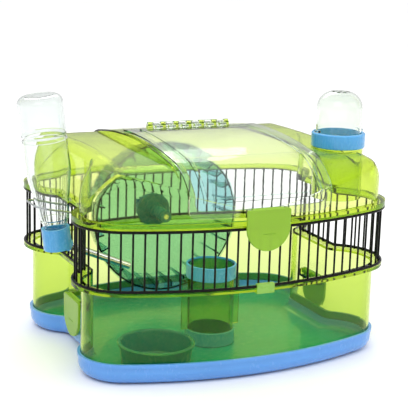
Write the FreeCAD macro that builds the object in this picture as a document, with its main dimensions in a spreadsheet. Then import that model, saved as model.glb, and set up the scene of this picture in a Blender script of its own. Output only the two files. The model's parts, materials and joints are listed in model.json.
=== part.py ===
import FreeCAD, Part
import math
import os

import Sketcher
from FreeCAD import Placement, Rotation, Vector

# Hamster cage, millimetres.  +Z is up, the front faces -Y, and the origin is
# the centre of the tray's underside.  The plan is an hourglass: two wide lobes,
# front and rear, joined by a waist that leaves a notch on each side.

DIMENSIONS = {
    # plan of the housing, measured on the wire hoops
    "half_width": 180.0,
    "half_depth": 161.0,
    "waist_half_width": 155.0,
    "lobe_end_radius": 53.0,
    "lobe_centre_depth": 85.0,
    "waist_corner_radius": 6.0,
    # heights of the stacked parts
    "tray_height": 23.3,
    "tray_floor": 2.5,
    "tray_ledge": 15.0,
    "tray_lip": 4.0,
    "flange_thickness": 3.5,
    "lower_rim": 101.3,
    "upper_rim": 166.8,
    "band_height": 5.6,
    # top shell
    "shell_wall": 2.2,
    "roof_height": 236.5,
    "roof_radius": 600.0,
    "roof_corner": 66.0,
    "hood_half_width": 87.0,
    "shoulder_height": 228.5,
    "shoulder_radius": 1500.0,
    "shoulder_corner": 60.0,
    "end_roof_height": 246.0,
    "end_roof_radius": 700.0,
    "end_roof_corner": 75.0,
    "lobe_softness": 12.0,
    # wire
    "hoop_radius": 1.6,
    "bar_radius": 1.1,
    "bar_pitch": 12.1,
    # access door and its hinge
    "door_half_width": 82.0,
    "door_thickness": 2.3,
    "door_gap": 0.5,
    "door_bottom": 176.0,
    "door_rear": 36.0,
    "door_corner": 10.0,
    "door_overlap": 7.0,
    "hinge_depth": 42.0,
    "hinge_height": 241.2,
    "hinge_rod_radius": 1.4,
    "hinge_barrel_radius": 2.8,
    "hinge_pitch": 16.0,
    # D-shaped latches
    "latch_half_width": 25.0,
    "latch_drop": 41.6,
    "latch_thickness": 2.6,
    "latch_barrel_radius": 3.2,
    "latch_pin_radius": 1.5,
    "latch_pivot_reach": 4.2,
    "front_latch_height": 183.0,
    "side_latch_height": 56.5,
    # lookout tower
    "tower_across": 133.5,
    "tower_depth": -71.5,
    "tube_radius": 28.0,
    "tube_wall": 2.0,
    "tower_ring_bottom": 227.4,
    "tower_ring_height": 16.0,
    "tower_ring_radius": 30.0,
    "dome_radius": 25.6,
    "dome_top": 289.0,
    # water bottle
    "bottle_across": -170.5,
    "bottle_base": 117.0,
    "bottle_tilt": 7.2,
    "bottle_radius": 24.5,
    "bottle_length": 170.0,
    "cap_radius": 15.5,
    "cap_height": 24.0,
    "sipper_slope": 23.0,
    "sipper_radius": 4.0,
    "holder_wire_radius": 1.1,
    # exercise wheel
    "wheel_across": -2.0,
    "wheel_height": 117.0,
    "wheel_rear": 139.5,
    "wheel_front": 95.0,
    "wheel_radius": 85.0,
    "wheel_flare": 7.0,
    "axle_radius": 3.0,
    # climbing tube and food dish
    "climb_across": -1.0,
    "climb_depth": -34.0,
    "climb_radius": 26.5,
    "climb_height": 94.0,
    "climb_ring_height": 16.0,
    "climb_ring_radius": 28.5,
    "dish_across": -92.0,
    "dish_depth": -94.0,
    "dish_radius": 40.0,
    "dish_height": 29.2,
    "standing_gap": 0.3,
}

RUNNING_CLEARANCE = 0.08
WALL_INSET = 8.7
WALL_THICKNESS = 2.2
TRAY_INSET = 6.2
TRAY_LIP_INSET = 5.2
TRAY_LEDGE_INSET = 8.4
TRAY_CAVITY_INSET = 12.0
FLANGE_OUTSET = 1.5
SHELL_INSET = 6.5
BAR_INSET = 2.4
PROFILE_MARGIN = 3.0
ORIGIN = Vector(0, 0, 0)
X_AXIS = Vector(1, 0, 0)
Y_AXIS = Vector(0, 1, 0)
Z_AXIS = Vector(0, 0, 1)
FRONT_VIEW = Rotation(X_AXIS, 90)
SIDE_VIEW = Rotation(Vector(1, 1, 1), 120)

doc = FreeCAD.newDocument("hamster_cage")
sheet = doc.addObject("Spreadsheet::Sheet", "Sheet")
for row, (alias, value) in enumerate(DIMENSIONS.items(), start=1):
    sheet.set("A%d" % row, alias)
    sheet.set("B%d" % row, str(value))
    sheet.setAlias("B%d" % row, alias)
doc.recompute()

nodes = []


def size(alias):
    """A driving dimension, read back from the sheet."""
    return float(sheet.get(alias))


def bind(thing, prop, expression):
    """Bind a property to the sheet: words that are aliases get the sheet's name."""
    for alias in sorted(DIMENSIONS, key=len, reverse=True):
        expression = expression.replace("<%s>" % alias, "Sheet.%s" % alias)
    thing.setExpression(prop, expression)


def node(thing, label):
    """Register a finished sub-part under its file name."""
    thing.Label = label
    nodes.append(thing)
    return thing


# ---------------------------------------------------------------- plan outline

def arc(centre, radius, start, end, flip_x=False, flip_y=False):
    """An arc of a circle, optionally mirrored across the Y axis or the X axis."""
    x, y = centre
    if flip_x:
        x, start, end = -x, math.pi - end, math.pi - start
    if flip_y:
        y, start, end = -y, -end, -start
    return Part.ArcOfCircle(Part.Circle(Vector(x, y, 0), Z_AXIS, radius), start, end)


def outline_numbers():
    """Centres, radii and tangent angles of the hourglass outline."""
    end_centre = (size("half_width") - size("lobe_end_radius"), -size("lobe_centre_depth"))
    across, rise = end_centre[0], size("half_depth") - size("lobe_centre_depth")
    end_radius = size("lobe_end_radius")
    front_radius = (across ** 2 + rise ** 2 - end_radius ** 2) / (2 * (rise - end_radius))
    corner = size("waist_corner_radius")
    corner_x = size("waist_half_width") + corner
    reach = math.sqrt((end_radius + corner) ** 2 - (corner_x - end_centre[0]) ** 2)
    corner_centre = (corner_x, end_centre[1] + reach)
    front_centre = (0.0, front_radius - size("half_depth"))
    front_angle = math.atan2(end_centre[1] - front_centre[1], end_centre[0])
    waist_angle = math.atan2(reach, corner_x - end_centre[0])
    return front_centre, front_radius, end_centre, corner_centre, front_angle, waist_angle


def half_outline(grow, rear):
    """The front or rear half of the outline, moved outward by grow, right to left."""
    front_centre, front_radius, end_centre, corner_centre, front_angle, waist_angle = outline_numbers()
    end_radius = size("lobe_end_radius") + grow
    corner_radius = size("waist_corner_radius") - grow
    side = 1 if rear else -1
    pieces = []
    for flip_x in (False, True):
        waist_x = (size("waist_half_width") + grow) * (-1 if flip_x else 1)
        waist_y = -corner_centre[1] * side
        pieces.append(Part.LineSegment(Vector(waist_x, 0, 0), Vector(waist_x, waist_y, 0)))
        pieces.append(arc(corner_centre, corner_radius, math.pi, math.pi + waist_angle, flip_x, rear))
        pieces.append(arc(end_centre, end_radius, front_angle, waist_angle, flip_x, rear))
    pieces.append(arc(front_centre, front_radius + grow, -math.pi - front_angle, front_angle, False, rear))
    return pieces


def outline(grow):
    """The closed outline, with one straight line along each side of the waist."""
    pieces = []
    for rear in (False, True):
        pieces += [piece for piece in half_outline(grow, rear) if isinstance(piece, Part.ArcOfCircle)]
    corner_y = outline_numbers()[3][1]
    for sign in (-1, 1):
        x = sign * (size("waist_half_width") + grow)
        pieces.append(Part.LineSegment(Vector(x, corner_y, 0), Vector(x, -corner_y, 0)))
    return pieces


def wire_of(pieces, height=0.0):
    """One wire through the given pieces, lifted to a height."""
    edges = Part.sortEdges([piece.toShape() for piece in pieces])[0]
    wire = Part.Wire(edges)
    wire.translate(Vector(0, 0, height))
    return wire


# ---------------------------------------------------------------- small tools

def plane_of(body, role):
    """The body's own origin plane with this role."""
    return next(item for item in body.Origin.OriginFeatures if item.Role == role)


def sketch_in(body, name, role, height="0"):
    """A sketch on one of the body's origin planes, at a height bound to the sheet."""
    sketch = body.newObject("Sketcher::SketchObject", name)
    sketch.AttachmentSupport = (plane_of(body, role), [""])
    sketch.MapMode = "FlatFace"
    if height != "0":
        bind(sketch, "AttachmentOffset.Base.z", height)
    return sketch


def outline_sketch(body, name, grow, height):
    sketch = sketch_in(body, name, "XY_Plane", height)
    sketch.addGeometry(outline(grow), False)
    return sketch


def polygon(sketch, points):
    """A closed polygon through the points."""
    corners = [Vector(x, y, 0) for x, y in points]
    for first, second in zip(corners, corners[1:] + corners[:1]):
        sketch.addGeometry(Part.LineSegment(first, second), False)


def circle(sketch, radius, across=0.0, up=0.0):
    """A circle whose radius is bound to the sheet."""
    index = sketch.addGeometry(Part.Circle(Vector(across, up, 0), Z_AXIS, 1.0), False)
    for kind, distance in (("DistanceX", across), ("DistanceY", up)):
        sketch.addConstraint(Sketcher.Constraint(kind, -1, 1, index, 3, distance))
    row = sketch.addConstraint(Sketcher.Constraint("Radius", index, 1.0))
    bind(sketch, "Constraints[%d]" % row, radius)


def pad(body, sketch, length, symmetric=False, reverse=False):
    feature = body.newObject("PartDesign::Pad", "Pad")
    feature.Profile = sketch
    bind(feature, "Length", length)
    feature.Midplane = symmetric
    feature.Reversed = reverse
    return feature


def pocket(body, sketch, length=None, symmetric=False, reverse=False):
    """A pocket; it must take material away."""
    doc.recompute()
    before = body.Shape.Volume
    feature = body.newObject("PartDesign::Pocket", "Pocket")
    feature.Profile = sketch
    feature.Midplane = symmetric
    feature.Reversed = reverse
    if length:
        bind(feature, "Length", length)
    else:
        feature.Type = "ThroughAll"
    doc.recompute()
    if body.Shape.Volume > before - 0.01:
        raise RuntimeError("pocket cut nothing in " + body.Label)
    return feature


def edges_where(shape, test):
    return ["Edge%d" % (i + 1) for i, edge in enumerate(shape.Edges) if test(edge.BoundBox)]


def round_edges(body, radius, test):
    """Fillet the edges of the body whose bounding boxes pass the test."""
    doc.recompute()
    base = body.Tip
    feature = body.newObject("PartDesign::Fillet", "Fillet")
    feature.Base = (base, edges_where(base.Shape, test))
    feature.Radius = radius
    doc.recompute()
    return feature


def at_height(height):
    return lambda box: abs(box.ZMin - height) < 0.01 and abs(box.ZMax - height) < 0.01


def revolved(name, points):
    """A body turned about its Z axis from a closed polygon of (radius, height) points."""
    body = doc.addObject("PartDesign::Body", name)
    sketch = sketch_in(body, name + "_profile", "XZ_Plane")
    polygon(sketch, points)
    turn = body.newObject("PartDesign::Revolution", name + "_turn")
    turn.Profile = sketch
    turn.ReferenceAxis = (sketch, ["V_Axis"])
    turn.Angle = 360
    return body


def place(thing, x="0", y="0", z="0", rotation=None):
    """Put a sub-part in the cage, with its position bound to the sheet."""
    if rotation:
        thing.Placement = Placement(ORIGIN, rotation)
    for prop, expression in (("x", x), ("y", y), ("z", z)):
        if expression != "0":
            bind(thing, "Placement.Base." + prop, expression)


def box(name, low, high):
    thing = doc.addObject("Part::Box", name)
    thing.Length, thing.Width, thing.Height = (b - a for a, b in zip(low, high))
    thing.Placement = Placement(Vector(*low), Rotation())
    return thing


def cylinder(name, radius, height, base=ORIGIN, direction=Z_AXIS):
    thing = doc.addObject("Part::Cylinder", name)
    bind(thing, "Radius", radius)
    bind(thing, "Height", height)
    thing.Placement = Placement(base, Rotation(Z_AXIS, direction))
    return thing


def joined(name, things):
    thing = doc.addObject("Part::MultiFuse", name)
    thing.Shapes = things
    thing.Refine = True
    return thing


def shared(name, things):
    thing = doc.addObject("Part::MultiCommon", name)
    thing.Shapes = things
    return thing


def cut(name, base, tool):
    thing = doc.addObject("Part::Cut", name)
    thing.Base = base
    thing.Tool = tool
    return thing


def prism(name, pieces, placement, direction, length):
    """A sketch of the given pieces, extruded along a direction."""
    sketch = doc.addObject("Sketcher::SketchObject", name + "_sketch")
    sketch.addGeometry(pieces, False)
    sketch.Placement = placement
    thing = doc.addObject("Part::Extrusion", name)
    thing.Base = sketch
    thing.DirMode = "Custom"
    thing.Dir = direction
    thing.LengthFwd = length
    thing.Solid = True
    return thing


def fixed_shape(name, shape):
    thing = doc.addObject("Part::Feature", name)
    thing.Shape = shape
    return thing


# ---------------------------------------------------------------- base and walls

def make_tray():
    """Blue tray: rounded underside, a lip outside, and a ledge inside for the wall."""
    body = doc.addObject("PartDesign::Body", "tray")
    pad(body, outline_sketch(body, "tray_plan", -TRAY_INSET, "0"), "<tray_height>")
    round_edges(body, 13.0, at_height(0))
    lip = outline_sketch(body, "lip_plan", -TRAY_LIP_INSET, "<tray_height> - <tray_lip>")
    pad(body, lip, "<tray_lip>")
    cavity = outline_sketch(body, "cavity_plan", -TRAY_CAVITY_INSET, "<tray_height>")
    pocket(body, cavity, "<tray_height> - <tray_floor>")
    round_edges(body, 8.0, at_height(size("tray_floor")))
    ledge = outline_sketch(body, "ledge_plan", -TRAY_LEDGE_INSET, "<tray_height>")
    pocket(body, ledge, "<tray_height> - <tray_ledge>")
    node(body, "base_tray")


def make_lower_wall():
    """Translucent wall that stands on the tray's ledge and carries the wire on its flange."""
    body = doc.addObject("PartDesign::Body", "wall")
    plan = outline_sketch(body, "wall_plan", -WALL_INSET, "<tray_ledge>")
    pad(body, plan, "<lower_rim> - <tray_ledge>")
    flange = outline_sketch(body, "flange_plan", FLANGE_OUTSET, "<lower_rim> - <flange_thickness>")
    pad(body, flange, "<flange_thickness>")
    inside = outline_sketch(body, "inside_plan", -WALL_INSET - WALL_THICKNESS, "<lower_rim>")
    pocket(body, inside, "<lower_rim>")
    node(body, "lower_wall")


def hoop(rear, height):
    """Half of a wire hoop, from one side of the waist round a lobe to the other."""
    radius = size("hoop_radius")
    path = wire_of(half_outline(0, rear), height)
    start = path.Vertexes[0].Point
    section = Part.Wire(Part.makeCircle(radius, start, Y_AXIS))
    return path.makePipeShell([section], True, False)


def make_grille(label, rear):
    """Lower and upper half hoops with evenly pitched upright bars welded inside them."""
    radius = size("hoop_radius")
    low, high = size("lower_rim") + radius + 0.05, size("upper_rim") - radius - 0.2
    hoops = [hoop(rear, level) for level in (low, high)]
    track = wire_of(half_outline(-BAR_INSET, rear))
    count = 2 * round(track.Length / size("bar_pitch") / 2)
    points = track.discretize(Number=2 * count + 1)[1::2]
    bars = [Part.makeCylinder(size("bar_radius"), high - low + 2.6, point + Vector(0, 0, low - 1.3))
            for point in points]
    shape = hoops[0].fuse(hoops[1:] + bars)
    # the two halves meet at the middle of the waist with a hairline between them
    gap = Part.makeBox(500, 0.4, 300, Vector(-250, -0.2, 0))
    node(fixed_shape(label, shape.cut(gap)), label)


def make_rim_clip(label, rear):
    """Small C-shaped clip that holds the lower hoop down on the flange."""
    face = size("half_depth") + FLANGE_OUTSET
    rim = size("lower_rim")
    parts = [
        box(label + "_plate", (-10, -face - 2.1, rim - 5.4), (10, -face - 0.4, rim + 5.0)),
        box(label + "_under", (-10, -face - 0.5, rim - 5.4), (10, -face + 6.0, rim - 3.8)),
        box(label + "_over", (-10, -face - 0.5, rim + 3.6), (10, -face + 2.3, rim + 5.0)),
    ]
    clip = joined(label + "_body", parts)
    if rear:
        clip.Placement = Placement(ORIGIN, Rotation(Z_AXIS, 180))
    node(clip, label)


# ---------------------------------------------------------------- top shell and door

def arch(half_span, corner, top, roof_radius, low):
    """A closed arch: upright sides, round corners and a shallow curved roof."""
    corner_x = half_span - corner
    roof_centre = top - roof_radius
    corner_y = roof_centre + math.sqrt((roof_radius - corner) ** 2 - corner_x ** 2)
    lean = math.atan2(corner_y - roof_centre, corner_x)
    pieces = [Part.LineSegment(Vector(-half_span, low, 0), Vector(half_span, low, 0))]
    for flip in (False, True):
        x = -half_span if flip else half_span
        pieces.append(Part.LineSegment(Vector(x, low, 0), Vector(x, corner_y, 0)))
        pieces.append(arc((corner_x, corner_y), corner, 0, lean, flip))
    pieces.append(arc((0, roof_centre), roof_radius, lean, math.pi - lean))
    return pieces


def dome_solid(name, grow, low):
    """The space under the roof surface moved outward by grow, down to a given height."""
    plan = prism(name + "_plan", outline(grow - SHELL_INSET), Placement(Vector(0, 0, low), Rotation()),
                 Z_AXIS, 300 - low)
    depth = size("half_depth") - SHELL_INSET + PROFILE_MARGIN + grow
    hood = arch(depth, size("roof_corner") + grow, size("roof_height") + grow,
                size("roof_radius") + grow, low - 5)
    reach = size("hood_half_width") + grow
    hood = prism(name + "_hood", hood, Placement(Vector(-reach, 0, 0), SIDE_VIEW), X_AXIS, 2 * reach)
    shoulder = arch(depth, size("shoulder_corner") + grow, size("shoulder_height") + grow,
                    size("shoulder_radius") + grow, low - 5)
    shoulder = prism(name + "_shoulder", shoulder, Placement(Vector(-250, 0, 0), SIDE_VIEW), X_AXIS, 500)
    width = size("half_width") - SHELL_INSET + PROFILE_MARGIN + grow
    front = arch(width, size("end_roof_corner") + grow, size("end_roof_height") + grow,
                 size("end_roof_radius") + grow, low - 5)
    front = prism(name + "_front", front, Placement(Vector(0, 250, 0), FRONT_VIEW), Vector(0, -1, 0), 500)
    return shared(name, [plan, joined(name + "_roof", [hood, shoulder]), front])


def crease_angle(shape, edge):
    """Angle in degrees between the two faces that meet at the middle of an edge."""
    middle = edge.valueAt((edge.FirstParameter + edge.LastParameter) / 2)
    faces = shape.ancestorsOfType(edge, Part.Face)
    normals = [face.normalAt(*face.Surface.parameter(middle)) for face in faces]
    return math.degrees(normals[0].getAngle(normals[1]))


def soften_lobes(name, source, radius):
    """Round the creases where the lobes' walls run into the roof; the hood's steps stay crisp."""
    source.Refine = True
    doc.recompute()
    shape = source.Shape
    least_angle, least_height = 4.0, size("upper_rim") + 18
    creases = []
    for i, edge in enumerate(shape.Edges, start=1):
        bounds = edge.BoundBox
        beside_hood = bounds.XMin > size("hood_half_width") + 1 or bounds.XMax < -size("hood_half_width") - 1
        above_rim = bounds.ZMin > size("upper_rim") and bounds.ZMax > least_height
        if beside_hood and above_rim and crease_angle(shape, edge) > least_angle:
            creases.append((i, radius, radius))
    fillet = doc.addObject("Part::Fillet", name)
    fillet.Base = source
    fillet.Edges = creases
    doc.recompute()
    return fillet


def front_panel(name, half_width, bottom, corner, rear):
    """A block reaching from the front to a rear limit, with two rounded lower corners."""
    inner = half_width - corner
    top = 300.0
    pieces = [
        Part.LineSegment(Vector(-half_width, top, 0), Vector(half_width, top, 0)),
        Part.LineSegment(Vector(half_width, top, 0), Vector(half_width, bottom + corner, 0)),
        Part.LineSegment(Vector(-half_width, top, 0), Vector(-half_width, bottom + corner, 0)),
        Part.LineSegment(Vector(-inner, bottom, 0), Vector(inner, bottom, 0)),
        arc((inner, bottom + corner), corner, -math.pi / 2, 0),
        arc((inner, bottom + corner), corner, -math.pi / 2, 0, True),
    ]
    return prism(name, pieces, Placement(Vector(0, rear, 0), FRONT_VIEW), Vector(0, -1, 0), rear + 250)


def hinge_rings(name, centres, width, low, high_y):
    """Barrels round the hinge axis, each with a block that ties it to the plate below."""
    depth, height = size("hinge_depth"), size("hinge_height")
    parts = []
    for i, centre in enumerate(centres):
        start = centre - width / 2
        parts.append(cylinder("%s_barrel%d" % (name, i), "<hinge_barrel_radius>", str(width),
                              Vector(start, depth, height), X_AXIS))
        parts.append(box("%s_tie%d" % (name, i), (start, high_y[0], low), (start + width, high_y[1], height)))
    return parts


def hinge_bore(name):
    return cylinder(name, "<hinge_rod_radius> + %g" % RUNNING_CLEARANCE, "200",
                    Vector(-100, size("hinge_depth"), size("hinge_height")), X_AXIS)


def make_top_shell():
    """Translucent roof with its rim band, door opening, hinge lugs and tower hole."""
    low, band = size("upper_rim"), size("band_height")
    wall, softness = size("shell_wall"), size("lobe_softness")
    outer = soften_lobes("shell_outer_soft", dome_solid("shell_outer", 0, low), softness)
    inner = soften_lobes("shell_inner_soft", dome_solid("shell_inner", -wall, low - 5), softness - wall)
    rim = prism("rim_band", outline(FLANGE_OUTSET), Placement(Vector(0, 0, low), Rotation()), Z_AXIS, band)
    solid = cut("shell_hollow", joined("shell_block", [outer, rim]), inner)
    opening = front_panel("door_opening", size("door_half_width") - size("door_overlap"),
                          size("door_bottom") + size("door_overlap") + 1, 8.0,
                          size("door_rear") - size("door_overlap"))
    opened = cut("shell_opened", solid, opening)
    pitch = size("hinge_pitch")
    depth = size("hinge_depth")
    lugs = hinge_rings("lug", [pitch * i for i in range(-3, 4)], 5.0, size("roof_height") - 2.5,
                       (depth - 4, depth + 4))
    holes = joined("shell_holes", [
        hinge_bore("lug_bore"),
        cylinder("tower_hole", "<tube_radius> + 0.05", "200",
                 Vector(size("tower_across"), size("tower_depth"), 100)),
        cylinder("ring_hole", "<tower_ring_radius> + 0.4", "100",
                 Vector(size("tower_across"), size("tower_depth"), size("tower_ring_bottom") - 0.5)),
    ])
    node(cut("shell_body", joined("shell_lugged", [opened] + lugs), holes), "top_shell")


def ridge_frame():
    """Four bars that mark out the raised ridge along the door's border."""
    side = size("door_half_width") - 14
    rear = size("door_rear") - 14
    low = size("door_bottom") + 17
    return joined("ridge_bars", [
        box("ridge_left", (-side, -200, low), (-side + 3.5, rear, 260)),
        box("ridge_right", (side - 3.5, -200, low), (side, rear, 260)),
        box("ridge_front", (-side, -200, low), (side, -100, low + 4)),
        box("ridge_rear", (-side, rear - 3.5, 220), (side, rear, 260)),
    ])


def make_access_door():
    """Clear curved door that follows the roof, with a raised ridge and six hinge knuckles."""
    gap, thick = size("door_gap"), size("door_thickness")
    floor = size("upper_rim")
    outer = dome_solid("door_outer", gap + thick, floor)
    skin = cut("door_skin", outer, dome_solid("door_inner", gap, floor - 5))
    raised = cut("ridge_skin", dome_solid("ridge_outer", gap + thick + 1.4, floor),
                 dome_solid("ridge_inner", gap + thick / 2, floor - 5))
    panel = front_panel("door_panel", size("door_half_width"), size("door_bottom"),
                        size("door_corner"), size("door_rear"))
    plate = shared("door_plate", [skin, panel])
    ridge = shared("door_ridge", [raised, ridge_frame()])
    pitch, depth = size("hinge_pitch"), size("hinge_depth")
    knuckles = hinge_rings("knuckle", [pitch * (i + 0.5) for i in range(-3, 3)], 8.0,
                           size("roof_height") + 1.0, (size("door_rear") - 5, depth))
    door = cut("door_body", joined("door_solid", [plate, ridge] + knuckles), hinge_bore("knuckle_bore"))
    node(door, "access_door")
    rod = cylinder("rod", "<hinge_rod_radius>", "102", Vector(-51, depth, size("hinge_height")), X_AXIS)
    node(rod, "hinge_rod")
    return outer


# ---------------------------------------------------------------- latches

def latch_plate(name, nib_low, nib_high, nib_reach, nib_half_width):
    """A D-shaped tab with a pivot barrel behind its top edge and a snap nib behind its face.

    The pivot runs along X through the body's origin, and the face looks along -Y.
    """
    body = doc.addObject("PartDesign::Body", name)
    half, drop, thick = size("latch_half_width"), size("latch_drop"), size("latch_thickness")
    top, shoulder, corner = 2.6, -17.0, 3.0
    face = sketch_in(body, name + "_face", "XZ_Plane", "<latch_thickness>")
    # circle through the two shoulders and the lowest point
    fall = drop + shoulder
    radius = (half ** 2 + fall ** 2) / (2 * fall)
    centre = -drop + radius
    sweep = math.asin((shoulder - centre) / radius)
    inner = half - corner
    face.addGeometry([
        arc((0, centre), radius, math.pi - sweep, 2 * math.pi + sweep),
        Part.LineSegment(Vector(half, shoulder, 0), Vector(half, top - corner, 0)),
        Part.LineSegment(Vector(-half, shoulder, 0), Vector(-half, top - corner, 0)),
        arc((inner, top - corner), corner, 0, math.pi / 2),
        arc((inner, top - corner), corner, 0, math.pi / 2, True),
        Part.LineSegment(Vector(-inner, top, 0), Vector(inner, top, 0)),
    ], False)
    pad(body, face, "<latch_thickness>")
    doc.recompute()
    front = -2 * thick
    round_edges(body, 0.9, lambda b: abs(b.YMin - front) < 0.01 and abs(b.YMax - front) < 0.01)
    barrel = sketch_in(body, name + "_barrel", "YZ_Plane")
    circle(barrel, "<latch_barrel_radius>")
    pad(body, barrel, "35.8", symmetric=True)
    nib = sketch_in(body, name + "_nib", "YZ_Plane")
    root = -thick - 0.6
    polygon(nib, [(root, nib_low), (nib_reach, nib_low + 0.8), (nib_reach, nib_high), (root, nib_high)])
    pad(body, nib, str(2 * nib_half_width), symmetric=True)
    bore = sketch_in(body, name + "_bore", "YZ_Plane")
    circle(bore, "<latch_pin_radius> + %g" % RUNNING_CLEARANCE)
    pocket(body, bore, "60", symmetric=True)
    dash = sketch_in(body, name + "_dash", "XZ_Plane", "<latch_thickness> * 2")
    polygon(dash, [(-7, -24), (7, -24), (7, -22.6), (-7, -22.6)])
    pocket(body, dash, "0.5")
    return body


def latch_mount(name):
    """Two ears on a strip, behind the latch; the strip's back lies against the wall.

    The ears are round at the pin, so that the tab's back clears them as it turns.
    """
    reach = size("latch_pivot_reach")
    parts = [box(name + "_strip", (-22.4, 2.2, -7.0), (22.4, reach + 1, -4.0))]
    for side in (-1, 1):
        near, far = sorted((side * 18.2, side * 22.4))
        ear = name + "_ear%d" % (side + 1)
        parts += [
            box(ear + "_low", (near, -2.2, -7.0), (far, reach + 1, 0)),
            box(ear + "_back", (near, 0, -1.0), (far, reach + 1, 1.9)),
            cylinder(ear + "_round", "2.35", str(far - near), Vector(near, 0, 0), X_AXIS),
        ]
    block = joined(name + "_block", parts)
    hole = cylinder(name + "_hole", "<latch_pin_radius>", "60", Vector(-30, 0, 0), X_AXIS)
    return cut(name + "_drilled", block, hole)


def latch_pin(name):
    return cylinder(name, "<latch_pin_radius>", "44.8", Vector(-22.4, 0, 0), X_AXIS)


def shape_at(label, source, placement, trim=None):
    """A sub-part's shape, put in its place; material inside the trim shape is removed."""
    doc.recompute()
    shape = source.Shape.copy()
    shape.Placement = placement.multiply(shape.Placement)
    if trim:
        shape = shape.cut(trim)
    return node(fixed_shape(label, shape), label)


def make_front_latch(door_outer):
    """The latch that closes the door; its mount stands on the door."""
    reach = size("latch_pivot_reach")
    door_face = size("half_depth") - SHELL_INSET + size("door_gap") + size("door_thickness")
    spot = Placement(Vector(0, -door_face - reach, size("front_latch_height")), Rotation())
    band_face = size("half_depth") + FLANGE_OUTSET
    band_top = size("upper_rim") + size("band_height") - size("front_latch_height")
    nib_reach = door_face + reach - band_face - 0.4
    plate = latch_plate("front_plate", band_top - 4.5, band_top - 1.0, nib_reach, 10.0)
    plate.Placement = spot
    node(plate, "latch_front")
    mount = latch_mount("front_mount")
    doc.recompute()
    shape_at("latch_mount_front", mount, spot, door_outer.Shape)
    pin = latch_pin("front_pin")
    pin.Placement = spot.multiply(pin.Placement)
    node(pin, "latch_pin_front")


def make_side_latches():
    """A latch on each side of the waist that hooks under the tray's lip."""
    reach = size("latch_pivot_reach")
    wall_face = size("waist_half_width") - WALL_INSET
    pivot = wall_face + reach
    height = size("side_latch_height")
    lip_bottom = size("tray_height") - size("tray_lip")
    tray_face = size("waist_half_width") - TRAY_INSET
    for name, side in (("left", -1), ("right", 1)):
        spot = Placement(Vector(side * pivot, 0, height), Rotation(Z_AXIS, side * 90))
        nib_top = lip_bottom - 0.4 - height
        plate = latch_plate(name + "_plate", nib_top - 3.0, nib_top, pivot - tray_face - 0.4, 6.0)
        plate.Placement = spot
        node(plate, "latch_" + name)
        wall = Part.makeBox(60, 300, 300, Vector(-wall_face if side < 0 else wall_face - 60, -150, 0))
        shape_at("latch_mount_" + name, latch_mount(name + "_mount"), spot, wall)
        pin = latch_pin(name + "_pin")
        pin.Placement = spot.multiply(pin.Placement)
        node(pin, "latch_pin_" + name)


# ---------------------------------------------------------------- tower

def make_tower():
    """Lime tube through the roof, blue twist ring and clear lookout dome with vent holes."""
    radius, wall = size("tube_radius"), size("tube_wall")
    low, ring_low = size("upper_rim") + 3.2, size("tower_ring_bottom")
    tube_top = ring_low + 3.0
    tube = revolved("tube", [
        (radius - wall, low), (radius, low), (radius, tube_top), (radius - wall, tube_top),
    ])
    place(tube, "<tower_across>", "<tower_depth>")
    node(tube, "tower_tube")

    outer, ring_top = size("tower_ring_radius"), ring_low + size("tower_ring_height")
    sleeve = radius + RUNNING_CLEARANCE
    step_low, step_high = tube_top + 0.3, tube_top + 2.3
    seat = size("dome_radius") + 0.6
    ring = revolved("ring", [
        (sleeve, ring_low), (outer - 0.6, ring_low), (outer, ring_low + 0.8), (outer, ring_top - 1.2),
        (outer - 1.2, ring_top), (seat, ring_top), (seat, step_high), (seat - 3, step_high),
        (seat - 3, step_low), (sleeve, step_low),
    ])
    place(ring, "<tower_across>", "<tower_depth>")
    node(ring, "tower_ring")
    node(make_dome(step_high + 0.3, ring_top + 0.4), "tower_dome")


def make_dome(foot, tab_low):
    """Clear cap: upright sides, a wide round shoulder, two tabs and a ring of vent holes."""
    outer, top, wall, shoulder = size("dome_radius"), size("dome_top"), 1.6, 19.0
    body = doc.addObject("PartDesign::Body", "dome")
    profile = sketch_in(body, "dome_profile", "XZ_Plane")
    bend = (outer - shoulder, top - shoulder)
    profile.addGeometry([
        Part.LineSegment(Vector(outer - wall, foot, 0), Vector(outer, foot, 0)),
        Part.LineSegment(Vector(outer, foot, 0), Vector(outer, bend[1], 0)),
        arc(bend, shoulder, 0, math.pi / 2),
        Part.LineSegment(Vector(bend[0], top, 0), Vector(0, top, 0)),
        Part.LineSegment(Vector(0, top, 0), Vector(0, top - wall, 0)),
        Part.LineSegment(Vector(0, top - wall, 0), Vector(bend[0], top - wall, 0)),
        arc(bend, shoulder - wall, 0, math.pi / 2),
        Part.LineSegment(Vector(outer - wall, bend[1], 0), Vector(outer - wall, foot, 0)),
    ], False)
    turn = body.newObject("PartDesign::Revolution", "dome_turn")
    turn.Profile = profile
    turn.ReferenceAxis = (profile, ["V_Axis"])
    turn.Angle = 360
    for side in (-1, 1):
        tab = sketch_in(body, "dome_tab%d" % (side + 1), "XY_Plane", str(tab_low))
        near, far = side * (outer - 0.8), side * (outer + 3.6)
        polygon(tab, [(near, -4), (far, -4), (far, 4), (near, 4)])
        pad(body, tab, "2.4")
    vents = sketch_in(body, "dome_vents", "XY_Plane", str(top + 1))
    for i in range(8):
        angle = math.radians(45 * i)
        circle(vents, "1.6", 8.5 * math.cos(angle), 8.5 * math.sin(angle))
    circle(vents, "1.6")
    pocket(body, vents, "12")
    place(body, "<tower_across>", "<tower_depth>")
    return body


# ---------------------------------------------------------------- water bottle

def bottle_spot():
    """The bottle's frame: its axis leans outward at the top."""
    return Placement(Vector(size("bottle_across"), 0, size("bottle_base")),
                     Rotation(Y_AXIS, -size("bottle_tilt")))


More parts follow.
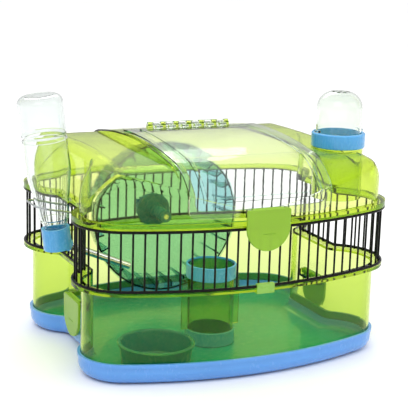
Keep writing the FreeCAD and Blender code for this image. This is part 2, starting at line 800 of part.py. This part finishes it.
def make_bottle():
    """Clear inverted bottle: neck in the cap, tapering shoulder, grooved body, round base."""
    radius, length, cap = size("bottle_radius"), size("bottle_length"), size("cap_height")
    wall, neck, edge = 1.5, 12.0, 9.0
    shoulder_low, shoulder_high, groove = cap + 2.5, 88.0, 125.0
    body = doc.addObject("PartDesign::Body", "bottle")
    sketch = sketch_in(body, "bottle_profile", "XZ_Plane")
    bend = (radius - edge, length - edge)
    outside = [(neck, 8.0), (neck, shoulder_low), (neck + 4.0, shoulder_low + 7), (18.3, 52.0),
               (22.2, 74.0), (radius, shoulder_high), (radius, groove - 3), (radius - 1.4, groove),
               (radius, groove + 3), (radius, bend[1])]
    inside = [(radius - wall, bend[1]), (radius - wall, groove + 4), (radius - 1.4 - wall, groove),
              (radius - wall, groove - 4), (radius - wall, shoulder_high), (22.2 - wall, 74.0),
              (18.3 - wall, 52.0), (neck + 4.0 - wall, shoulder_low + 8), (neck - wall, shoulder_low),
              (neck - wall, 8.0)]
    for points in (outside, inside):
        for first, second in zip(points, points[1:]):
            sketch.addGeometry(Part.LineSegment(Vector(*first, 0), Vector(*second, 0)), False)
    sketch.addGeometry([
        arc(bend, edge, 0, math.pi / 2),
        Part.LineSegment(Vector(bend[0], length, 0), Vector(0, length, 0)),
        Part.LineSegment(Vector(0, length, 0), Vector(0, length - wall, 0)),
        Part.LineSegment(Vector(0, length - wall, 0), Vector(bend[0], length - wall, 0)),
        arc(bend, edge - wall, 0, math.pi / 2),
        Part.LineSegment(Vector(neck - wall, 8.0, 0), Vector(neck, 8.0, 0)),
    ], False)
    turn = body.newObject("PartDesign::Revolution", "bottle_turn")
    turn.Profile = sketch
    turn.ReferenceAxis = (sketch, ["V_Axis"])
    turn.Angle = 360
    body.Placement = bottle_spot()
    node(body, "water_bottle")


def sipper_line():
    """Start point and direction of the sipper tube, which slopes down into the cage."""
    slope = math.radians(size("sipper_slope"))
    start = Vector(size("bottle_across") + 2, 0, size("bottle_base") + 6.6)
    return start, Vector(math.cos(slope), 0, -math.sin(slope))


def make_cap_and_sipper():
    """Blue screw cap with an angled sleeve, the steel sipper tube and its ball."""
    start, along = sipper_line()
    radius = size("sipper_radius")
    cap = cylinder("cap_drum", "<cap_radius>", "<cap_height>")
    cap.Placement = bottle_spot()
    sleeve = cylinder("cap_sleeve", "6.5", "13", start, along)
    bore = cylinder("cap_bore", "12.05", "30")
    bore.Placement = bottle_spot().multiply(Placement(Vector(0, 0, 7.6), Rotation()))
    passage = cylinder("cap_passage", "<sipper_radius>", "40", start + along * 4.0, along)
    grips = []
    # the grip grooves run round the cap every 15 degrees, except where the sleeve stands
    for i in range(2, 23):
        spin = Rotation(Z_AXIS, 15 * i)
        groove = box("cap_grip%d" % i, (-0.5, -0.5, 3.0), (0.5, 0.5, size("cap_height") - 3))
        side = spin.multVec(Vector(size("cap_radius"), 0, 3.0))
        groove.Placement = bottle_spot().multiply(Placement(side, spin))
        grips.append(groove)
    solid = cut("cap_bored", joined("cap_solid", [cap, sleeve]), joined("cap_voids", [bore, passage] + grips))
    node(solid, "bottle_cap")

    length = 84.0
    near = start + along * 4.0
    outer = cylinder("sipper_outer", "<sipper_radius>", str(length), near, along)
    lumen = cylinder("sipper_lumen", "<sipper_radius> - 0.9", str(length + 2), near - along, along)
    lip = doc.addObject("Part::Torus", "sipper_lip")
    lip.Radius1, lip.Radius2 = radius - 0.75, 0.75
    lip.Placement = Placement(near + along * length, Rotation(Z_AXIS, along))
    node(joined("sipper", [cut("sipper_wall", outer, lumen), lip]), "sipper_tube")
    ball = doc.addObject("Part::Sphere", "ball")
    ball.Radius = radius - 0.95
    ball.Placement = Placement(near + along * (length - 2.6), Rotation())
    node(ball, "sipper_ball")


def rounded_path(points, radii):
    """A wire through the points, with a tangent arc of its own radius at each inner corner."""
    edges = []
    start = points[0]
    for before, corner, after, radius in zip(points, points[1:], points[2:], radii):
        back = (before - corner).normalize()
        ahead = (after - corner).normalize()
        half = back.getAngle(ahead) / 2
        inset = radius / math.tan(half)
        middle = (back + ahead).normalize()
        first, last = corner + back * inset, corner + ahead * inset
        centre = corner + middle * (radius / math.sin(half))
        edges.append(Part.LineSegment(start, first).toShape())
        edges.append(Part.Arc(first, centre - middle * radius, last).toShape())
        start = last
    edges.append(Part.LineSegment(start, points[-1]).toShape())
    return Part.Wire(edges)


def make_bottle_holder():
    """Bent wire loop round the bottle's shoulder, hooked through the bars on both sides."""
    wire = size("holder_wire_radius")
    leg, tip_x, leg_x = 22.4, -201.0, -149.5
    tip_z, leg_z = 169.0, 158.5
    fall = (leg_z - tip_z) / (leg_x - tip_x)

    def at(x, y):
        return Vector(x, y, tip_z + fall * (x - tip_x))

    bend = 8.0
    hook = [Vector(leg_x, leg - 6.5, leg_z - 1), Vector(leg_x, leg - 6.5, leg_z - 9)]
    half = [at(tip_x, 0), at(tip_x, leg - 8), at(tip_x + 8, leg), at(leg_x, leg), hook[0], hook[1]]
    other = [Vector(p.x, -p.y, p.z) for p in reversed(half)]
    points = other[:-1] + half[1:]
    path = rounded_path(points, [2.5, 2.5, bend, bend, bend, bend, 2.5, 2.5])
    start = path.Vertexes[0].Point
    section = Part.Wire(Part.makeCircle(wire, start, Z_AXIS))
    shape = path.makePipeShell([section], True, False)
    node(fixed_shape("holder", shape), "bottle_holder")


# ---------------------------------------------------------------- exercise wheel

def wheel_spin():
    """Rotation that lays a turned part's own +Z axis along the cage's +Y axis."""
    return Rotation(X_AXIS, -90)


def make_wheel():
    """Pale blue drum with a closed rear disc, running rungs, blue hub, axle and bracket."""
    radius, flare = size("wheel_radius"), size("wheel_flare")
    front, rear = size("wheel_front"), size("wheel_rear")
    wall, disc = 2.0, 2.4
    wide = radius + flare
    drum = revolved("drum", [
        (8.0, rear - disc), (radius - wall, rear - disc), (wide - wall, front + 2.4), (wide - wall, front),
        (wide + 1.6, front), (wide + 1.6, front + 2.4), (wide, front + 2.4), (radius, rear - 1.0),
        (radius - 1.0, rear), (8.0, rear),
    ])
    rung = sketch_in(drum, "rung_plan", "XY_Plane", "<wheel_front> + 1")
    inner = wide - wall + 0.4
    polygon(rung, [(radius - wall - 1.8, -0.9), (inner, -0.9), (inner, 0.9), (radius - wall - 1.8, 0.9)])
    rib = pad(drum, rung, "<wheel_rear> - <wheel_front> - 2")
    spread(drum, rib, 30)
    # the rungs end at the drum's outer face
    trimmed(drum, [(wide, front + 0.5), (wide, front + 2.4), (radius, rear - 1.0), (radius, rear + 1.0),
                   (wide + 10, rear + 1.0), (wide + 10, front + 2.4), (wide + 1.6, front + 2.4),
                   (wide + 1.6, front + 0.5)])
    place(drum, "<wheel_across>", "0", "<wheel_height>", wheel_spin())
    node(drum, "wheel_drum")

    bore = size("axle_radius") + RUNNING_CLEARANCE
    plate_back = rear - disc
    hub = revolved("hub", [
        (bore, front + 4.0), (7.4, front + 4.0), (8.2, front + 5.5), (8.2, plate_back - 9),
        (11.0, plate_back - 5), (20.0, plate_back - 3.4), (21.0, plate_back - 2.6), (21.0, plate_back), (8.0, plate_back),
        (8.0, rear), (bore, rear),
    ])
    place(hub, "<wheel_across>", "0", "<wheel_height>", wheel_spin())
    node(hub, "wheel_hub")
    make_wheel_mount(front, rear)


def trimmed(body, points):
    """Turn an (r, z) outline round the body's Z axis and take it away."""
    sketch = sketch_in(body, "trim_profile", "XZ_Plane")
    polygon(sketch, points)
    groove = body.newObject("PartDesign::Groove", "trim_turn")
    groove.Profile = sketch
    groove.ReferenceAxis = (sketch, ["V_Axis"])
    groove.Angle = 360
    body.Tip = groove
    doc.recompute()


def spread(body, feature, count):
    """Repeat a feature evenly round the body's Z axis."""
    doc.recompute()
    pattern = body.newObject("PartDesign::PolarPattern", "Spread")
    pattern.Originals = [feature]
    pattern.Axis = (feature.Profile[0], ["N_Axis"])
    pattern.Angle = 360
    pattern.Occurrences = count
    body.Tip = pattern
    doc.recompute()


def make_wheel_mount(front, rear):
    """Axle, its retaining cap, the bracket inside the bars and the clamp outside them."""
    x, z = size("wheel_across"), size("wheel_height")
    plate = rear + 2.5
    bars_inside = size("half_depth") - BAR_INSET - size("bar_radius") - 0.3
    bars_outside = size("half_depth") - BAR_INSET + size("bar_radius") + 0.3
    axle = cylinder("axle", "<axle_radius>", str(bars_inside - 2 - front), Vector(x, front, z), Y_AXIS)
    node(axle, "wheel_axle")

    cap = revolved("axle_end", [
        (3.0, front + 0.4), (7.0, front + 0.4), (7.0, front + 3.4), (3.0, front + 3.4),
    ])
    place(cap, "<wheel_across>", "0", "<wheel_height>", wheel_spin())
    node(cap, "axle_cap")

    disc = cylinder("bracket_disc", "19", "4", Vector(x, plate, z), Y_AXIS)
    arm = box("bracket_arm", (x - 11, plate + 3, z - 13), (x + 11, bars_inside, z + 13))
    socket = cylinder("bracket_socket", "<axle_radius>", str(bars_inside - 2 - plate + 1),
                      Vector(x, plate - 1, z), Y_AXIS)
    slot = box("bracket_slot", (-3.0, bars_inside - 1.5, z - 6), (3.0, bars_inside + 1, z + 6))
    voids = joined("bracket_voids", [socket, slot])
    node(cut("bracket", joined("bracket_solid", [disc, arm]), voids), "wheel_bracket")

    clamp_plate = box("clamp_plate", (-15, bars_outside, z - 9), (15, bars_outside + 2.6, z + 9))
    tongue = box("clamp_tongue", (-3.0, bars_inside - 1.5, z - 6), (3.0, bars_outside + 0.5, z + 6))
    node(joined("clamp", [clamp_plate, tongue]), "bracket_clamp")


# ---------------------------------------------------------------- loose furniture

def make_climbing_tube():
    """Upright lime tube with two side fins, a blue ring on top and a blue collar below."""
    radius, wall = size("climb_radius"), size("tube_wall")
    low = size("tray_floor") + size("standing_gap")
    top = size("climb_height")
    ring = size("climb_ring_height")
    tube = revolved("climb", [
        (radius - wall, low), (radius, low), (radius, top - 2), (radius - wall, top - 2),
    ])
    for side in (-1, 1):
        fin = sketch_in(tube, "fin%d" % (side + 1), "XY_Plane", str(low + ring + 0.5))
        near, far = side * (radius - 0.8), side * (radius + 9.0)
        polygon(fin, [(near, -1.2), (far, -1.2), (far, 1.2), (near, 1.2)])
        pad(tube, fin, str(top - low - 2 * ring - 1.0))
    place(tube, "<climb_across>", "<climb_depth>")
    node(tube, "climb_tube")
    outer, sleeve = size("climb_ring_radius"), radius + 0.03
    for label, bottom in (("climb_collar", low), ("climb_ring", top - ring)):
        band = revolved(label + "_band", [
            (sleeve, bottom), (outer - 0.7, bottom), (outer, bottom + 0.7), (outer, bottom + ring - 0.7),
            (outer - 0.7, bottom + ring), (sleeve, bottom + ring),
        ])
        place(band, "<climb_across>", "<climb_depth>")
        node(band, label)


def make_dish():
    """Blue food dish with sloping sides and a rolled rim."""
    radius, height, wall = size("dish_radius"), size("dish_height"), 2.6
    low = size("tray_floor") + size("standing_gap")
    top = low + height
    foot = radius - 5.0
    dish = revolved("dish", [
        (0, low + 1.0), (foot - 6, low + 1.0), (foot - 5, low), (foot, low), (foot + 1.2, low + 1.2),
        (radius - 0.4, top - 3.0), (radius + 1.2, top - 3.0), (radius + 1.6, top - 1.2), (radius + 0.6, top),
        (radius - 1.6, top), (radius - wall, top - 1.4), (foot - 1.6, low + 6.0), (foot - 6.0, low + 3.2),
        (0, low + 3.2),
    ])
    place(dish, "<dish_across>", "<dish_depth>")
    node(dish, "food_dish")


# ---------------------------------------------------------------- build and export

def check_and_export():
    """Refuse any failed object or bad shape, then write one STEP file per sub-part."""
    doc.recompute()
    failed = [thing.Name for thing in doc.Objects
              if "Invalid" in thing.State or "Error" in thing.State]
    if failed:
        raise RuntimeError("failed objects: " + ", ".join(failed))
    os.makedirs("parts", exist_ok=True)
    for thing in nodes:
        shape = thing.Shape
        if shape.isNull() or not shape.isValid() or not shape.Solids:
            raise RuntimeError("bad shape: " + thing.Label)
        shape.exportStep(os.path.join("parts", thing.Label + ".step"))
        print("%-20s solids %d volume %.0f" % (thing.Label, len(shape.Solids), shape.Volume))


make_tray()
make_lower_wall()
make_grille("grille_front", False)
make_grille("grille_rear", True)
make_rim_clip("clip_front", False)
make_rim_clip("clip_rear", True)
make_top_shell()
door_surface = make_access_door()
make_front_latch(door_surface)
make_side_latches()
make_tower()
make_bottle()
make_cap_and_sipper()
make_bottle_holder()
make_wheel()
make_climbing_tube()
make_dish()
check_and_export()
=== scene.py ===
"""Looks of the hamster cage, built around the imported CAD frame.  Metres, +Z up, the front faces -Y."""

import json
import math

import bpy
from mathutils import Matrix, Vector


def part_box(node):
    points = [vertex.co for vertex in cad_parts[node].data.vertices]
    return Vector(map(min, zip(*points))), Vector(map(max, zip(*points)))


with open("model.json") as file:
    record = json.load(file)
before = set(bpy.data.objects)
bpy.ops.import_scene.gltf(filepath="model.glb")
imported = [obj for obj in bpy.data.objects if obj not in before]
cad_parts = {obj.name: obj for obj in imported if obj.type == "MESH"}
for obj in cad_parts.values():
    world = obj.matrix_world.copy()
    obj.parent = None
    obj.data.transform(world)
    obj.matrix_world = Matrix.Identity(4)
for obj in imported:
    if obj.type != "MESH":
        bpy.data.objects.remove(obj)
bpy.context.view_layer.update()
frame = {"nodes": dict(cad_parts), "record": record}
nodes = frame["nodes"]


# height of the tray's inner ledge, as a share of the tray's height and in metres; the painted shade on the
# inner floor stops there
LEDGE_SHARE = 0.62
TRAY_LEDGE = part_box("base_tray")[1].z * LEDGE_SHARE
# height over which the floor's painted shade fades out below the ledge, in metres
LEDGE_BLEND = 0.003


# ---------------------------------------------------------------- node helpers

class Graph:
    """A material's node tree, with short calls for the nodes that are used here."""

    def __init__(self, name):
        self.material = bpy.data.materials.new(name)
        self.material.use_nodes = True
        self.tree = self.material.node_tree
        self.tree.nodes.clear()
        self.output = self.add("ShaderNodeOutputMaterial")
        self.where = self.add("ShaderNodeTexCoord").outputs["Object"]

    def add(self, kind, **values):
        node = self.tree.nodes.new(kind)
        for key, value in values.items():
            setattr(node, key, value)
        return node

    def link(self, source, target):
        self.tree.links.new(source, target)

    def noise(self, scale, detail=3.0, stretch=(1, 1, 1), roughness=0.5):
        """Noise value over the object, with its own stretch along each axis."""
        mapping = self.add("ShaderNodeMapping")
        mapping.inputs["Scale"].default_value = stretch
        self.link(self.where, mapping.inputs["Vector"])
        texture = self.add("ShaderNodeTexNoise")
        texture.inputs["Scale"].default_value = scale
        texture.inputs["Detail"].default_value = detail
        texture.inputs["Roughness"].default_value = roughness
        self.link(mapping.outputs["Vector"], texture.inputs["Vector"])
        return texture.outputs["Fac"]

    def spread(self, value, low, high, start=0.3, end=0.7):
        """Remap a 0 to 1 value to a range."""
        node = self.add("ShaderNodeMapRange")
        node.inputs["From Min"].default_value = start
        node.inputs["From Max"].default_value = end
        node.inputs["To Min"].default_value = low
        node.inputs["To Max"].default_value = high
        self.link(value, node.inputs["Value"])
        return node.outputs["Result"]

    def ramp(self, value, stops):
        """Colour ramp through (position, (r, g, b)) stops."""
        node = self.add("ShaderNodeValToRGB")
        elements = node.color_ramp.elements
        while len(elements) < len(stops):
            elements.new(0.5)
        for element, (position, colour) in zip(elements, stops):
            element.position = position
            element.color = (*colour, 1)
        self.link(value, node.inputs["Fac"])
        return node.outputs["Color"]

    def mixed(self, factor, first, second):
        """Mix of two colours by a 0 to 1 value."""
        node = self.add("ShaderNodeMix", data_type="RGBA")
        self.link(factor, node.inputs["Factor"])
        self.link(first, node.inputs["A"])
        self.link(second, node.inputs["B"])
        return node.outputs["Result"]

    def painted_shade_floor_mask(self):
        """1 on the tray's inner floor, where the painted shade goes: below the ledge and facing up."""
        place = self.add("ShaderNodeSeparateXYZ")
        self.link(self.where, place.inputs["Vector"])
        low = self.spread(place.outputs["Z"], 1.0, 0.0, TRAY_LEDGE - LEDGE_BLEND, TRAY_LEDGE)
        facing = self.add("ShaderNodeSeparateXYZ")
        self.link(self.add("ShaderNodeNewGeometry").outputs["Normal"], facing.inputs["Vector"])
        up = self.spread(facing.outputs["Z"], 0.0, 1.0, 0.2, 0.6)
        both = self.add("ShaderNodeMath", operation="MULTIPLY")
        self.link(low, both.inputs[0])
        self.link(up, both.inputs[1])
        return both.outputs["Value"]

    def bump(self, layers):
        """Bump from (height value, strength, distance) layers, one over the other."""
        normal = None
        for height, strength, distance in layers:
            node = self.add("ShaderNodeBump")
            node.inputs["Strength"].default_value = strength
            node.inputs["Distance"].default_value = distance
            self.link(height, node.inputs["Height"])
            if normal is not None:
                self.link(normal, node.inputs["Normal"])
            normal = node.outputs["Normal"]
        return normal


def shade(colour, factor):
    """The colour made lighter or darker, kept within range."""
    return tuple(min(1.0, c * factor) for c in colour)


# ---------------------------------------------------------------- materials

# scale of the finest grain on moulded plastic and of the drawing marks on wire
MOULD_GRAIN = 900.0
DRAWN_GRAIN = 900.0


def moulded(name, colour, roughness, coat, painted_shade_colour=None):
    """Opaque glossy moulded plastic: flow marks, fine grain, faint scuffs and a wavy gloss.

    A darker floor colour, where there is one, goes on what faces up below the tray's ledge as painted
    shade.
    """
    g = Graph(name)
    shader = g.add("ShaderNodeBsdfPrincipled")
    flow = g.noise(14.0, 4.0, (1, 1, 3))
    colours = g.ramp(flow, [(0.3, shade(colour, 0.93)), (0.7, shade(colour, 1.06))])
    # painted shade: the inner floor takes a darker teal in place of the shade inside the cage, with the
    # same flow-mark tone
    if painted_shade_colour:
        painted_floor_shade = g.ramp(flow, [(0.3, shade(painted_shade_colour, 0.9)), (0.7, shade(painted_shade_colour, 1.1))])
        colours = g.mixed(g.painted_shade_floor_mask(), colours, painted_floor_shade)
    g.link(colours, shader.inputs["Base Color"])
    scuffs = g.noise(120.0, 6.0, (1, 6, 1), 0.7)
    g.link(g.spread(scuffs, roughness * 0.7, roughness * 1.6), shader.inputs["Roughness"])
    shader.inputs["Coat Weight"].default_value = coat
    shader.inputs["Coat Roughness"].default_value = 0.08
    shader.inputs["Subsurface Weight"].default_value = 0.12
    shader.inputs["Subsurface Radius"].default_value = (0.004, 0.004, 0.006)
    g.link(g.bump([(g.noise(22.0, 2.0), 0.25, 0.0012), (g.noise(MOULD_GRAIN, 2.0), 0.06, 0.0002)]),
           shader.inputs["Normal"])
    g.link(shader.outputs["BSDF"], g.output.inputs["Surface"])
    return g.material


# the large walls refract less than the small clear mouldings, so that the bright floor's
# reflection doesn't wash out what stands behind them
WALL_IOR = 1.27
CLEAR_IOR = 1.46


def clear_moulded(name, tint, absorb, density, roughness, ripple, haze, shadow, ior=WALL_IOR):
    """Clear or tinted moulded plastic, tinted by its depth, that lets the lamps' light through."""
    g = Graph(name)
    shader = g.add("ShaderNodeBsdfPrincipled")
    flow = g.noise(11.0, 3.0, (1, 1, 2))
    g.link(g.ramp(flow, [(0.3, shade(tint, 0.96)), (0.7, tint)]), shader.inputs["Base Color"])
    wipes = g.noise(60.0, 6.0, (1, 5, 1), 0.7)
    g.link(g.spread(wipes, roughness * 0.5, roughness * 2.4), shader.inputs["Roughness"])
    shader.inputs["Transmission Weight"].default_value = 1.0 - haze
    shader.inputs["IOR"].default_value = ior
    g.link(g.bump([(g.noise(16.0, 2.0), ripple, 0.0010), (g.noise(260.0, 2.0), 0.03, 0.0002)]),
           shader.inputs["Normal"])
    lamps = g.add("ShaderNodeBsdfTransparent")
    lamps.inputs["Color"].default_value = (*shadow, 1)
    path = g.add("ShaderNodeLightPath")
    mix = g.add("ShaderNodeMixShader")
    g.link(path.outputs["Is Shadow Ray"], mix.inputs["Fac"])
    g.link(shader.outputs["BSDF"], mix.inputs[1])
    g.link(lamps.outputs["BSDF"], mix.inputs[2])
    g.link(mix.outputs["Shader"], g.output.inputs["Surface"])
    depth = g.add("ShaderNodeVolumeAbsorption")
    depth.inputs["Color"].default_value = (*absorb, 1)
    depth.inputs["Density"].default_value = density
    g.link(depth.outputs["Volume"], g.output.inputs["Volume"])
    return g.material


def metal(name, colour, roughness, stretch, metallic=1.0, specular=0.5):
    """Drawn wire or tube: fine drawing marks along its length, blotches and a broken gloss."""
    g = Graph(name)
    shader = g.add("ShaderNodeBsdfPrincipled")
    blotch = g.noise(45.0, 4.0)
    g.link(g.ramp(blotch, [(0.3, shade(colour, 0.8)), (0.7, shade(colour, 1.15))]),
           shader.inputs["Base Color"])
    marks = g.noise(DRAWN_GRAIN, 3.0, stretch)
    g.link(g.spread(marks, roughness * 0.6, roughness * 1.5), shader.inputs["Roughness"])
    shader.inputs["Metallic"].default_value = metallic
    shader.inputs["Specular IOR Level"].default_value = specular
    g.link(g.bump([(marks, 0.12, 0.0001), (blotch, 0.1, 0.0003)]), shader.inputs["Normal"])
    g.link(shader.outputs["BSDF"], g.output.inputs["Surface"])
    return g.material


# what the lime plastic lets through with depth, and the tint of the lamps' light past it
LIME_DEPTH = (0.87, 0.92, 0.42)
LIME_SHADOW = (0.86, 0.95, 0.62)
MATERIALS = {
    # the tray's inner floor gets a darker teal as painted shade
    "tray_blue": moulded("tray_blue", (0.095, 0.305, 0.74), 0.2, 0.3, painted_shade_colour=(0.012, 0.31, 0.42)),
    "wall_green": clear_moulded("wall_green", (0.833, 0.918, 0.53), LIME_DEPTH, 340.0, 0.03, 0.25,
                                0.0, LIME_SHADOW),
    "shell_lime": clear_moulded("shell_lime", (0.86, 0.93, 0.465), LIME_DEPTH, 340.0, 0.03, 0.25,
                                0.0, LIME_SHADOW),
    "clear": clear_moulded("clear", (0.96, 0.99, 0.95), (0.80, 0.92, 0.80), 60.0, 0.02, 0.12,
                           0.0, (0.97, 0.98, 0.97), CLEAR_IOR),
    "bottle_clear": clear_moulded("bottle_clear", (0.96, 0.98, 0.97), (0.75, 0.84, 0.80), 90.0, 0.03, 0.12,
                                  0.0, (0.96, 0.97, 0.97), CLEAR_IOR),
    "latch_lime": clear_moulded("latch_lime", (0.31, 0.53, 0.05), LIME_DEPTH, 250.0, 0.12, 0.2,
                                0.7, (0.70, 0.90, 0.30)),
    "clip_yellow": moulded("clip_yellow", (0.20, 0.42, 0.05), 0.25, 0.2),
    "wire_black": metal("wire_black", (0.004, 0.004, 0.0045), 0.25, (1, 1, 0.1), 0.0, 0.12),
    "wire_grey": metal("wire_grey", (0.42, 0.44, 0.45), 0.3, (0.1, 1, 1)),
    "steel": metal("steel", (0.66, 0.66, 0.66), 0.18, (0.1, 1, 1)),
    "fitting_blue": moulded("fitting_blue", (0.06, 0.33, 0.66), 0.22, 0.3),
    # the wheel's tint leans to green: painted reflection of the green walls around it, over the wheel's
    # own pale clear tint
    "wheel_clear": clear_moulded("wheel_clear", (0.76, 0.90, 0.86), (0.38, 0.72, 0.76), 560.0, 0.03, 0.15,
                                 0.0, (0.85, 0.94, 0.98)),
    "dish_blue": moulded("dish_blue", (0.004, 0.17, 0.27), 0.2, 0.3),
}
HUB_BLUE = moulded("hub_blue", (0.01, 0.14, 0.26), 0.22, 0.3)


def dress(node, material):
    """Give a CAD node a material in every one of its slots."""
    data = nodes[node].data
    if not data.materials:
        data.materials.append(material)
    for i in range(len(data.materials)):
        data.materials[i] = material


for subpart in frame["record"]["subparts"]:
    dress(subpart["node"], MATERIALS[subpart["material_slot"]])
for hub_piece in ("wheel_hub", "axle_cap"):
    dress(hub_piece, HUB_BLUE)


# ---------------------------------------------------------------- floor, lights and camera

def make_floor():
    """Plain pale floor under the tray."""
    mesh = bpy.data.meshes.new("floor")
    half, drop = 6.0, 0.0005
    mesh.from_pydata([(-half, -half, 0), (half, -half, 0), (half, half, 0), (-half, half, 0)], [],
                     [(0, 1, 2, 3)])
    floor = bpy.data.objects.new("floor", mesh)
    floor.location.z = -drop
    bpy.context.scene.collection.objects.link(floor)
    g = Graph("floor_pale")
    shader = g.add("ShaderNodeBsdfPrincipled")
    g.link(g.ramp(g.noise(3.0), [(0.3, (0.86, 0.86, 0.86)), (0.7, (0.90, 0.90, 0.90))]),
           shader.inputs["Base Color"])
    shader.inputs["Roughness"].default_value = 0.6
    g.link(shader.outputs["BSDF"], g.output.inputs["Surface"])
    mesh.materials.append(g.material)


def aim(thing, target):
    """Turn a lamp so that it shines at the target."""
    thing.rotation_euler = (target - thing.location).to_track_quat("-Z", "Y").to_euler()


def add_softbox(name, place, width, height, power, target):
    """A rectangular area lamp that leaves no outline of itself in the gloss."""
    data = bpy.data.lights.new(name, "AREA")
    data.shape = "RECTANGLE"
    data.size = width
    data.size_y = height
    data.energy = power
    lamp = bpy.data.objects.new(name, data)
    lamp.location = place
    lamp.visible_glossy = False
    aim(lamp, target)
    bpy.context.scene.collection.objects.link(lamp)


HORIZON_LEVEL = 0.42
ZENITH_LEVEL = 1.4


def make_world():
    """White all round for the eye and through the clear walls; softer light from above for the rest."""
    world = bpy.data.worlds.new("studio")
    bpy.context.scene.world = world
    world.use_nodes = True
    tree = world.node_tree
    background = tree.nodes["Background"]
    path = tree.nodes.new("ShaderNodeLightPath")
    seen = tree.nodes.new("ShaderNodeMath")
    seen.operation = "MAXIMUM"
    tree.links.new(path.outputs["Is Camera Ray"], seen.inputs[0])
    tree.links.new(path.outputs["Is Transmission Ray"], seen.inputs[1])
    direction = tree.nodes.new("ShaderNodeSeparateXYZ")
    tree.links.new(tree.nodes.new("ShaderNodeTexCoord").outputs["Generated"], direction.inputs["Vector"])
    dome = tree.nodes.new("ShaderNodeValToRGB")
    horizon, zenith = dome.color_ramp.elements
    horizon.position, horizon.color = 0.0, (*[HORIZON_LEVEL] * 3, 1)
    zenith.position, zenith.color = 0.8, (*[ZENITH_LEVEL] * 3, 1)
    tree.links.new(direction.outputs["Z"], dome.inputs["Fac"])
    mix = tree.nodes.new("ShaderNodeMix")
    mix.data_type = "RGBA"
    mix.inputs["B"].default_value = (1, 1, 1, 1)
    tree.links.new(seen.outputs["Value"], mix.inputs["Factor"])
    tree.links.new(dome.outputs["Color"], mix.inputs["A"])
    tree.links.new(mix.outputs["Result"], background.inputs["Color"])


def make_lights():
    """Three softboxes."""
    centre = Vector((0, 0, 0.12))
    add_softbox("key", (-0.9, -1.1, 1.6), 1.3, 1.3, 12.0, centre)
    add_softbox("fill", (1.4, -0.9, 0.9), 0.9, 0.9, 5.0, centre)
    add_softbox("back", (0.3, 1.3, 1.2), 1.0, 0.6, 6.0, centre)


# the photograph's view: degrees, metres, and the lens in millimetres
VIEW_AZIMUTH = -25.10
VIEW_ELEVATION = 13.03
VIEW_ROLL = 1.65
VIEW_DISTANCE = 1.12788
VIEW_TARGET = Vector((-0.10875, -0.23995, 0.21511))
VIEW_LENS = 108.14


def make_camera():
    """Camera at the reference view: azimuth, elevation, distance and a slight roll."""
    azimuth, elevation, roll = (math.radians(a) for a in (VIEW_AZIMUTH, VIEW_ELEVATION, VIEW_ROLL))
    back = Vector((math.sin(azimuth) * math.cos(elevation), -math.cos(azimuth) * math.cos(elevation),
                   math.sin(elevation)))
    level = Vector((0, 0, 1)).cross(back).normalized()
    up = back.cross(level)
    across = level * math.cos(roll) + up * math.sin(roll)
    upward = up * math.cos(roll) - level * math.sin(roll)
    data = bpy.data.cameras.new("camera")
    data.lens = VIEW_LENS
    data.clip_end = 50
    camera = bpy.data.objects.new("camera", data)
    turn = Matrix((across, upward, back)).transposed().to_4x4()
    camera.matrix_world = Matrix.Translation(VIEW_TARGET + back * VIEW_DISTANCE) @ turn
    bpy.context.scene.collection.objects.link(camera)
    bpy.context.scene.camera = camera


make_floor()
make_world()
make_lights()
make_camera()
bpy.context.scene.view_settings.view_transform = "Standard"
